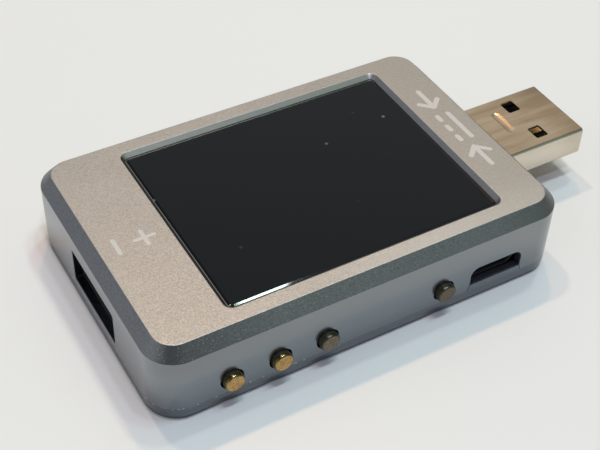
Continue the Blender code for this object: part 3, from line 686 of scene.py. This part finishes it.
def mark_strokes():
    """Generic signs: two arrows and a direct-current sign by the plug, plus and minus by the socket."""
    strokes = []
    wing_out, wing_back = ARROW_WING
    for side in (1, -1):
        tip = (PLUG_MARK_X, side * ARROW_TIP_Y)
        strokes.append((tip, (PLUG_MARK_X, side * ARROW_TAIL_Y), WIDE_STROKE))
        for wing in (-1, 1):
            wing_end = (PLUG_MARK_X + wing * wing_out, side * (ARROW_TIP_Y + wing_back))
            strokes.append((tip, wing_end, WIDE_STROKE))

    def upright(x, y, half, width):
        strokes.append(((x, y - half), (x, y + half), width))

    line_offset, line_half = DC_LINE
    upright(PLUG_MARK_X + line_offset, 0.0, line_half, WIDE_STROKE)
    for y in DC_DASHES_Y:
        upright(PLUG_MARK_X + DC_DASHES_X, y, DC_DASH_HALF, WIDE_STROKE)
    plus_left, plus_right = PLUS_X - POLE_MARK_HALF, PLUS_X + POLE_MARK_HALF
    strokes.append(((plus_left, POLE_MARK_Y), (plus_right, POLE_MARK_Y), THIN_STROKE))
    upright(PLUS_X, POLE_MARK_Y, POLE_MARK_HALF, THIN_STROKE)
    upright(MINUS_X, POLE_MARK_Y, POLE_MARK_HALF, THIN_STROKE)
    return strokes


def build_shell(materials):
    """One closed skin: wall, chamfer, top plate, window slope, ledge and cavity; then its openings."""
    foot_z = SEAM_Z + SEAM_GAP / 2
    outer = filleted([(SEAM_EDGE, foot_z, 0), (0.0, foot_z + SEAM_EDGE, 0),
                      (0.0, BODY_TOP - CHAMFER_DROP, 0.1), (CHAMFER_WIDTH, BODY_TOP, 0.05),
                      (CHAMFER_WIDTH + FLAT_STRIP, BODY_TOP, 0)])
    window = filleted([(-FLAT_STRIP, BODY_TOP, 0), (0.0, BODY_TOP, 0.04),
                       (WINDOW_SLOPE, BODY_TOP - WINDOW_SLOPE, 0.02), (WINDOW_SLOPE, SEAT_Z, 0),
                       (WINDOW_SLOPE + LEDGE_WIDTH, SEAT_Z, 0), (WINDOW_SLOPE + LEDGE_WIDTH, CEILING_Z, 0)])
    cavity = [(WALL, CEILING_Z), (WALL, foot_z)]
    rings = [(body_outline(inset), z) for inset, z in outer]
    rings += [(window_outline(inset), z) for inset, z in window]
    rings += [(body_outline(inset), z) for inset, z in cavity]
    plate_low = BODY_TOP - 0.02     # a band whose middle is above this is part of the top plate
    bands = []
    for (_, low), (_, high) in zip(rings, rings[1:] + rings[:1]):
        middle = (low + high) / 2
        index = len(bands)
        if index < len(outer) + 1:
            wall_or_bevel = SIDE if middle < BODY_TOP - CHAMFER_DROP else BEVEL
            bands.append(wall_or_bevel if middle < plate_low else PLATE)
        elif index < len(outer) + len(window) - 4:      # down to the foot of the window's slope
            bands.append(SLOPE if middle < plate_low else PLATE)
        else:
            bands.append(INSIDE)
    shell = skin("housing_shell", rings, closed=True, bands=bands)
    looks = [materials[key] for key in SHELL_LOOKS]
    for look in looks:
        shell.data.materials.append(look)

    def plug_hole(grow):
        grow += PLUG_HOLE_CLEARANCE
        return rounded_rectangle(PLUG_WIDTH + 2 * grow, PLUG_HEIGHT + 2 * grow, PLUG_RADIUS + grow,
                                 (0.0, PLUG_CENTRE_Z), 6)

    def socket_mouth(grow):
        return rounded_rectangle(SOCKET_MOUTH[0] + 2 * grow, SOCKET_MOUTH[1] + 2 * grow,
                                 SOCKET_MOUTH_RADIUS + grow, SOCKET_CENTRE, 6)

    front = (FRONT_Y, FRONT_Y + 2 * WALL, FRONT_Y - OVERSHOOT, "Y")
    end_x = BODY_LENGTH / 2
    right = (end_x, end_x - 2 * WALL, end_x + OVERSHOOT, "X")
    left = (-end_x, -end_x + 2 * WALL, -end_x - OVERSHOOT, "X")
    for number in range(1, 5):
        centre = (middle_of(f"button_cap_{number}")[0], BUTTON_Z)
        hole = opening_cutter("hole", lambda grow: circle(BUTTON_HOLE_RADIUS + grow, centre), *front)
        cut(shell, hole, index=SIDE)
    # The notch's cut faces take the dark inside colour, painted shade.
    cut(shell, opening_cutter("notch", port_notch, *front), index=INSIDE)
    cut(shell, opening_cutter("plug_hole", plug_hole, *right), index=SIDE)
    cut(shell, opening_cutter("socket_mouth", socket_mouth, *left), index=SIDE)
    for number, (start, end, width) in enumerate(mark_strokes()):
        floor_z = BODY_TOP - MARK_DEPTH - MARK_DEPTH_STEP * number
        stroke = prism("stroke", capsule(start, end, width), floor_z, BODY_TOP + OVERSHOOT / 2)
        cut(shell, stroke, index=ETCHED)
    dress(shell, looks, replaces=["top_shell"])


def build_cover(materials):
    """Tray with a low rim, a sill for the side port and four countersinks."""
    profile = filleted([(BASE_EDGE + FLAT_STRIP, 0.0, 0), (BASE_EDGE, 0.0, 0.1), (0.0, BASE_TAPER, 0.5),
                        (0.0, PORT_SILL_Z, 0)])
    rings = [(body_outline(inset), z) for inset, z in profile]
    rings += [(body_outline(WALL), PORT_SILL_Z), (body_outline(WALL), FLOOR_THICKNESS)]
    wall_bands = len(rings) - 3
    cover = skin("base_cover", rings, bands=[0] * wall_bands + [1, 1])
    looks = [materials["base"], materials["inside"]]
    for look in looks:
        cover.data.materials.append(look)

    # Only the sill under the side port keeps the full height: the rest comes down to the seam.
    rim_z = SEAM_Z - SEAM_GAP / 2
    far = BODY_LENGTH
    over = PORT_SILL_Z + OVERSHOOT
    above_rim = [(far, rim_z), (far, over), (-far, over), (-far, rim_z)]
    half = PORT_MOUTH_WIDTH / 2 - SEAM_GAP
    foot = half + PORT_MOUTH_FLARE
    sill = [(PORT_CENTRE_X - foot, rim_z), (PORT_CENTRE_X - half, PORT_SILL_Z),
            (PORT_CENTRE_X + half, PORT_SILL_Z), (PORT_CENTRE_X + foot, rim_z)]
    cut(cover, prism("front_rim", above_rim + sill, -BODY_WIDTH, 0.0, "Y"))
    cut(cover, prism("back_rim", above_rim, -OVERSHOOT, BODY_WIDTH, "Y"))

    # Broken edge, seat of the head, cone and hole for the shank
    seat, shank = HEAD_SEAT_RADIUS, SHANK_HOLE_RADIUS
    profile = [(seat + 0.07, -OVERSHOOT / 2), (seat + 0.07, -0.001), (seat, 0.06), (seat, 0.15),
               (shank, 0.9), (shank, FLOOR_THICKNESS + OVERSHOOT / 2)]
    for number in range(1, 5):
        centre = middle_of(f"cover_screw_{number}")
        cut(cover, skin("countersink", [(circle(r, centre, 48), z) for r, z in profile]))
    dress(cover, looks, replaces=["bottom_cover"])


def build_screws(materials):
    """Countersunk screws with a six-lobe recess."""
    point_radius, point_z = SCREW_POINT
    lobes = []
    for step in range(60):
        turn = math.tau * step / 60
        reach = RECESS_RADIUS + RECESS_LOBE * math.cos(6 * turn)
        lobes.append((reach * math.cos(turn), reach * math.sin(turn)))
    for number in range(1, 5):
        low, high = span(f"cover_screw_{number}")
        x, y = middle_of(f"cover_screw_{number}")
        profile = filleted([(1.2, low[2], 0), (SCREW_HEAD_RADIUS, low[2], 0.04),
                            (SCREW_HEAD_RADIUS, low[2] + 0.1, 0.04), (SCREW_RADIUS, 0.85, 0.1),
                            (SCREW_RADIUS, point_z, 0.05), (point_radius, high[2], 0.05),
                            (0.3, high[2], 0)], 3)
        screw = skin(f"closing_screw_{number}", [(circle(r, (x, y), 48), z) for r, z in profile])
        recess = [(x + u, y + v) for u, v in lobes]
        cut(screw, prism("recess", recess, -OVERSHOOT / 2, RECESS_DEPTH))
        dress(screw, [materials["steel"]], replaces=[f"cover_screw_{number}"])


def build_glass(materials):
    """Cover glass with a narrow ground edge and a shallow polished bevel inside it."""
    side = WINDOW_SLOPE + GLASS_PLAY
    ground = side + GROUND_EDGE
    flat = ground + GLASS_BEVEL_WIDTH
    ground_z = glass_high[2] - GLASS_BEVEL_DROP
    profile = [(side, glass_low[2]), (side, ground_z - GROUND_EDGE), (ground, ground_z),
               (flat, glass_high[2]), (flat + FLAT_STRIP / 2, glass_high[2])]
    glass = skin("display_glass", [(window_outline(i), z) for i, z in profile], bands=[0, 1, 0, 0])
    looks = [materials["glass"], materials["glass_edge"]]
    dress(glass, looks, replaces=["cover_glass"], angle=8)


# --- Buttons ---

def build_buttons(materials):
    """Turned caps: dished face, bright chamfer and a flange behind the wall."""
    flange_y = FRONT_Y + WALL + FLANGE_CLEARANCE
    inwards, backwards = BUTTON_SHOULDER
    face_radius = BUTTON_RADIUS - inwards
    turns = [math.radians(15 * step) for step in range(1, 7)]
    for number in range(1, 5):
        low, high = span(f"button_cap_{number}")
        centre = ((low[0] + high[0]) / 2, BUTTON_Z)
        face, back = low[1], high[1]
        edge = face + BUTTON_FACE_EDGE
        dish = [(radius, face + depth, fillet) for radius, depth, fillet in BUTTON_DISH]
        profile = filleted(dish + [(face_radius - 0.05, face, 0.02), (face_radius, edge, 0)], 3)
        profile += [(face_radius + inwards * math.sin(turn), edge + backwards * (1 - math.cos(turn)))
                    for turn in turns]
        profile += filleted([(BUTTON_RADIUS, flange_y, 0), (FLANGE_RADIUS, flange_y, 0.03),
                             (FLANGE_RADIUS, back, 0.03), (1.5, back, 0)], 3)
        bands = [0 if radius < face_radius + 0.01 else 1 if y < edge + backwards + 0.01 else 2
                 for radius, y in profile[1:]]
        cap = skin(f"button_knob_{number}", [(circle(r, centre), y) for r, y in profile], "Y", bands=bands)
        bright = number in BRIGHT_BUTTONS
        finish = ("brass", "brass_shoulder", "stem") if bright else ("dull_brass", "dull_shoulder", "stem")
        looks = [materials[name] for name in finish]
        dress(cap, looks, f"button_{number}", [f"button_cap_{number}"])


# --- USB plug ---

def plug_outline(inset):
    least_radius = 0.12
    return rounded_rectangle(PLUG_WIDTH - 2 * inset, PLUG_HEIGHT - 2 * inset,
                             max(PLUG_RADIUS - inset, least_radius), (0.0, PLUG_CENTRE_Z), 10)


def build_plug(materials):
    """Folded sheet sleeve with windows and a pressed dimple, on a core with four contacts."""
    root_x, tip_x = plug_low[0], plug_high[0]
    profile = filleted([(0.0, root_x, 0), (0.0, tip_x, 0.12),
                        (PLUG_SHEET, tip_x, 0.1), (PLUG_SHEET, root_x, 0)])
    sleeve = skin("plug_sleeve", [(plug_outline(i), x) for i, x in profile], "X", closed=True)
    for side in (-1, 1):
        def window(grow):
            return rounded_rectangle(PLUG_WINDOW[0] + grow, PLUG_WINDOW[1] + grow, PLUG_WINDOW_RADIUS,
                                     (PLUG_WINDOW_X, side * PLUG_WINDOW_Y), 5)

        for face in (1, -1):
            face_z = PLUG_CENTRE_Z + face * PLUG_HEIGHT / 2
            inner, outer = face_z - face * OVERSHOOT, face_z + face * OVERSHOOT
            cut(sleeve, opening_cutter("window", window, face_z, inner, outer, "Z"))
    start, end, width = PLUG_DIMPLE
    top_z = PLUG_CENTRE_Z + PLUG_HEIGHT / 2
    dimple = [(width + 0.2, top_z + OVERSHOOT / 2)]
    for step in range(10, -1, -1):
        share = step / 10
        dimple.append((max(width * share, 0.05), top_z - PLUG_DIMPLE_DEPTH * (1 - share ** 2)))
    cut(sleeve, skin("dimple", [(capsule(start, end, wide), z) for wide, z in dimple]))
    dress(sleeve, [materials["nickel"]], replaces=["usb_plug_shell"])

    low, high = span("usb_plug_insulator")
    deck_z = low[2] + PLUG_TONGUE_HEIGHT
    step_x = BODY_LENGTH / 2 + PLUG_BLOCK_REACH
    ramp_length, ramp_height = PLUG_TONGUE_RAMP
    profile = [(low[0], low[2]), (high[0], low[2]), (high[0], deck_z - ramp_height),
               (high[0] - ramp_length, deck_z), (step_x, deck_z), (step_x, high[2]), (low[0], high[2])]
    core = prism("plug_core", profile, low[1], high[1], "Y")
    round_edges(core, 0.12)
    dress(core, [materials["black_plastic"]], replaces=["usb_plug_insulator"])
    for number in range(1, 5):
        low, high = span(f"plug_contact_{number}")
        contact = block(f"plug_blade_{number}", low, high)
        dress(contact, [materials["gold"]], replaces=[f"plug_contact_{number}"])


# --- Sockets ---

def build_socket(materials):
    """USB-A socket: sheet sleeve with a closed back, stepped core, four contacts and four springs."""
    centre_y, centre_z = SOCKET_CENTRE
    mouth_x, back_x = socket_low[0], socket_high[0]
    width, height = socket_high[1] - socket_low[1], socket_high[2] - socket_low[2]

    def outline(inset):
        least_radius = 0.25
        return rounded_rectangle(width - 2 * inset, height - 2 * inset,
                                 max(SOCKET_RADIUS - inset, least_radius), SOCKET_CENTRE, 6)

    floor_x = back_x - SOCKET_SHEET
    profile = filleted([(FLAT_STRIP, back_x, 0), (0.0, back_x, 0.1), (0.0, mouth_x, 0.08),
                        (SOCKET_SHEET, mouth_x, 0.08), (SOCKET_SHEET, floor_x, 0),
                        (2 * FLAT_STRIP, floor_x, 0)])
    sleeve = skin("socket_sleeve", [(outline(i), x) for i, x in profile], "X")
    dress(sleeve, [materials["painted_shade_steel"]], replaces=["usb_socket_shell"])

    low, high = span("usb_socket_tongue")
    tongue_low = centre_z + SOCKET_TONGUE_LIFT - SOCKET_TONGUE_THICKNESS / 2
    tongue_high = tongue_low + SOCKET_TONGUE_THICKNESS
    block_x = high[0] - SOCKET_BLOCK_LENGTH
    profile = [(high[0], low[2]), (high[0], high[2]), (block_x, high[2]), (block_x, tongue_high),
               (low[0] + SOCKET_TONGUE_CHAMFER, tongue_high),
               (low[0], tongue_high - SOCKET_TONGUE_CHAMFER), (low[0], tongue_low),
               (block_x, tongue_low), (block_x, low[2])]
    core = prism("socket_core", profile, low[1], high[1], "Y")
    round_edges(core, 0.1)
    dress(core, [materials["black_plastic"]], replaces=["usb_socket_tongue"])
    for number in range(1, 5):
        low, high = span(f"socket_contact_{number}")
        contact = block(f"socket_blade_{number}", low, high)
        dress(contact, [materials["gold"]], replaces=[f"socket_contact_{number}"])
    for number, (side, face) in enumerate(((-1, -1), (1, -1), (-1, 1), (1, 1)), start=1):
        wall_z = centre_z + face * (height / 2 - SOCKET_SHEET - 0.03)
        y = centre_y + side * SPRING_Y
        outside = [(x, wall_z - face * rise) for x, rise in SPRING_PATH]
        inside = [(x, wall_z - face * (rise + SPRING_SHEET)) for x, rise in SPRING_PATH]
        spring = prism(f"socket_spring_{number}", outside + inside[::-1],
                       y - SPRING_WIDTH / 2, y + SPRING_WIDTH / 2, "Y")
        round_edges(spring, 0.04)
        dress(spring, [materials["nickel"]])


def build_port(materials):
    """Side port: sleeve with cut lower corners, stepped core and five contacts."""
    front_y, back_y = port_low[1], port_high[1]
    half = (port_high[0] - port_low[0]) / 2

    def outline(inset):
        left, right = PORT_CENTRE_X - half + inset, PORT_CENTRE_X + half - inset
        bottom, top = port_high[2] - PORT_HEIGHT + inset, port_high[2] - inset
        corner = PORT_SHELL_CORNER - inset / 2
        points = [(left + PORT_SHELL_CUT, bottom), (right - PORT_SHELL_CUT, bottom),
                  (right, bottom + PORT_SHELL_CUT)]
        points += arc((right - corner, top - corner), corner, 0, 90, 6)
        points += arc((left + corner, top - corner), corner, 90, 180, 6)
        points.append((left, bottom + PORT_SHELL_CUT))
        return points

    profile = filleted([(0.0, back_y, 0), (0.0, front_y, 0.08),
                        (PORT_SHEET, front_y, 0.08), (PORT_SHEET, back_y, 0)], 3)
    sleeve = skin("port_sleeve", [(outline(i), y) for i, y in profile], "Y", closed=True)
    dress(sleeve, [materials["painted_shade_steel"]], replaces=["side_port_shell"])

    low, high = span("side_port_tongue")
    middle_z = (PORT_SILL_Z + PORT_TOP_Z) / 2
    tongue_low, tongue_high = (middle_z + height for height in PORT_TONGUE_HEIGHTS)
    block_y = high[1] - PORT_BLOCK_LENGTH
    profile = [(high[1], low[2]), (high[1], high[2]), (block_y, high[2]), (block_y, tongue_high),
               (low[1], tongue_high), (low[1], tongue_low), (block_y, tongue_low), (block_y, low[2])]
    core = prism("port_core", profile, low[0], high[0], "X")
    round_edges(core, 0.06)
    dress(core, [materials["black_plastic"]], replaces=["side_port_tongue"])
    half = PORT_CONTACT_WIDTH / 2
    contact_top = tongue_low - 0.01
    contact_low = contact_top - PORT_CONTACT_THICKNESS
    for number in range(5):
        x = PORT_CENTRE_X + (number - 2) * PORT_CONTACT_PITCH
        contact = block(f"port_blade_{number + 1}", (x - half, low[1] + 0.2, contact_low),
                        (x + half, block_y - 0.05, contact_top), 0.02)
        dress(contact, [materials["gold"]])


# --- Pieces inside the housing ---

def dress_inside(materials):
    """CAD nodes that keep their shape get their materials."""
    nodes = {
        "foam": ["glass_gasket"],
        "glass": ["lcd_panel"],
        "film": ["display_ribbon"],
        "board": ["main_board"],
        "nickel": ["crystal"],
        "white_plastic": ["lcd_backlight", "display_connector"],
        "resin": ["mcu_chip", "meter_chip", "memory_chip", "regulator_chip", "power_inductor"],
        "ceramic": ["shunt_resistor", "bulk_capacitor_1", "bulk_capacitor_2"],
    }
    for number in range(1, 5):
        nodes["resin"].append(f"switch_body_{number}")
        nodes["white_plastic"].append(f"switch_plunger_{number}")
    for look, names in nodes.items():
        for name in names:
            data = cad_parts[name].data
            data.materials.clear()
            data.materials.append(materials[look])


# --- Studio ---

CAMERA_PLACE = Vector((-62.2, -103.4, 117.7)) * MM
CAMERA_AIM = Vector((-0.63, -1.96, 6.0)) * MM
CAMERA_ROLL = 2.19              # degrees
CAMERA_LENS = 72.5


def look_matrix(place, aim, roll=0.0):
    """Placement of a camera or lamp that looks from place to aim."""
    back = (place - aim).normalized()
    right = Vector((0, 0, 1)).cross(back).normalized()
    up = back.cross(right)
    turn = Matrix((right, up, back)).transposed().to_4x4() @ Matrix.Rotation(math.radians(roll), 4, "Z")
    return Matrix.Translation(place) @ turn


def build_camera():
    data = bpy.data.cameras.new("camera")
    data.sensor_width = 36.0
    data.lens = CAMERA_LENS
    data.clip_start = 0.005
    camera = bpy.data.objects.new("camera", data)
    camera.matrix_world = look_matrix(CAMERA_PLACE, CAMERA_AIM, CAMERA_ROLL)
    bpy.context.collection.objects.link(camera)
    bpy.context.scene.camera = camera


TABLE_COLOUR = (0.79, 0.787, 0.775)
TABLE_HALF = 1500.0
TABLE_Z = -0.02                 # just under the object's feet
LAMP_DISTANCE = 1.2             # metres

# Direction towards each lamp for one unit up, the light that it adds to the table, its width in metres.
LAMPS = {
    "warm_lamp_right": ((0.290, 0.505), (0.088, 0.045, 0.017), 0.06),
    "warm_lamp_behind": ((-0.030, 0.500), (0.105, 0.087, 0.063), 0.06),
    "cool_lamp_right": ((0.345, 0.214), (0.062, 0.078, 0.071), 0.08),
    "cool_lamp_near": ((0.290, -0.070), (0.030, 0.065, 0.066), 0.10),
    "cool_lamp_middle": ((0.150, -0.100), (0.070, 0.075, 0.087), 0.10),
    "white_lamp_above": ((0.000, -0.100), (0.103, 0.103, 0.102), 0.10),
    "cool_lamp_front": ((-0.050, -0.400), (0.077, 0.079, 0.106), 0.10),
}


def build_lamp(name, slope, table_light, size):
    """A small round ceiling lamp whose power gives the table that much light."""
    direction = Vector((*slope, 1.0)).normalized()
    strength = [light / albedo * (math.pi * LAMP_DISTANCE) ** 2 / direction.z
                for light, albedo in zip(table_light, TABLE_COLOUR)]
    data = bpy.data.lights.new(name, "AREA")
    data.shape = "DISK"
    data.size = size
    data.energy = max(strength)
    data.color = [value / max(strength) for value in strength]
    made = bpy.data.objects.new(name, data)
    made.matrix_world = look_matrix(direction * LAMP_DISTANCE, Vector((0, 0, 0)))
    bpy.context.collection.objects.link(made)


# Soft surroundings: light from all sides, and what is added round some directions:
# the direction, its reach in degrees and the colour.
ROOM_LIGHT = (0.196, 0.180, 0.162)
GLOWS = {
    "ceiling": ((0.0, 0.0, 1.0), 30, (0.45, 0.52, 0.60)),
    "far_wall": ((0.45, 0.72, 0.52), 35, (0.41, 0.425, 0.42)),
    "above_right": ((0.46, 0.18, 0.87), 18, (0.40, 0.42, 0.43)),
    "front_right": ((0.62, -0.68, 0.38), 35, (0.06, 0.17, 0.155)),
    "left_far": ((-0.71, 0.62, 0.25), 40, (0.12, 0.13, 0.24)),
    "left_low": ((-0.90, 0.10, 0.35), 45, (0.42, 0.45, 0.47)),
    "viewer": ((-0.50, -0.55, 0.66), 45, (-0.19, -0.175, -0.155)),
}


def build_world():
    """Room light with a soft glow added round each direction of GLOWS."""
    world = bpy.data.worlds.new("studio")
    bpy.context.scene.world = world
    world.use_nodes = True
    nodes, links = world.node_tree.nodes, world.node_tree.links
    place = nodes.new("ShaderNodeTexCoord")
    total = nodes.new("ShaderNodeRGB").outputs["Color"]
    total.default_value = (*ROOM_LIGHT, 1.0)
    for direction, reach, colour in GLOWS.values():
        facing = nodes.new("ShaderNodeVectorMath")
        facing.operation = "DOT_PRODUCT"
        facing.inputs[1].default_value = Vector(direction).normalized()
        links.new(place.outputs["Generated"], facing.inputs[0])
        falloff = nodes.new("ShaderNodeMapRange")
        falloff.interpolation_type = "SMOOTHSTEP"
        falloff.inputs["From Min"].default_value = math.cos(math.radians(reach))
        falloff.inputs["From Max"].default_value = 1.0
        links.new(facing.outputs["Value"], falloff.inputs["Value"])
        tint = nodes.new("ShaderNodeVectorMath")
        tint.operation = "SCALE"
        tint.inputs[0].default_value = colour
        links.new(falloff.outputs["Result"], tint.inputs["Scale"])
        add = nodes.new("ShaderNodeVectorMath")
        add.operation = "ADD"
        links.new(total, add.inputs[0])
        links.new(tint.outputs["Vector"], add.inputs[1])
        total = add.outputs["Vector"]
    background = nodes["Background"]
    links.new(total, background.inputs["Color"])
    background.inputs["Strength"].default_value = 1.0


def build_studio():
    """White table, soft surroundings and lamps."""
    corners = [Vector((x, y, TABLE_Z)) * MM for x, y in
               ((-TABLE_HALF, -TABLE_HALF), (TABLE_HALF, -TABLE_HALF),
                (TABLE_HALF, TABLE_HALF), (-TABLE_HALF, TABLE_HALF))]
    data = bpy.data.meshes.new("table")
    data.from_pydata(corners, [], [(0, 1, 2, 3)])
    data.materials.append(Look("white_table", TABLE_COLOUR, 0.0, 0.35, Specular_IOR_Level=0.2).material)
    table = bpy.data.objects.new("table", data)
    bpy.context.collection.objects.link(table)
    build_world()
    for name, (slope, table_light, size) in LAMPS.items():
        build_lamp(name, slope, table_light, size)
    view = bpy.context.scene.view_settings
    view.view_transform = "Standard"
    view.look = "None"


# --- The whole meter ---

build_camera()
build_studio()
all_materials = make_materials()
build_shell(all_materials)
build_cover(all_materials)
build_screws(all_materials)
build_glass(all_materials)
build_buttons(all_materials)
build_plug(all_materials)
build_socket(all_materials)
build_port(all_materials)
dress_inside(all_materials)
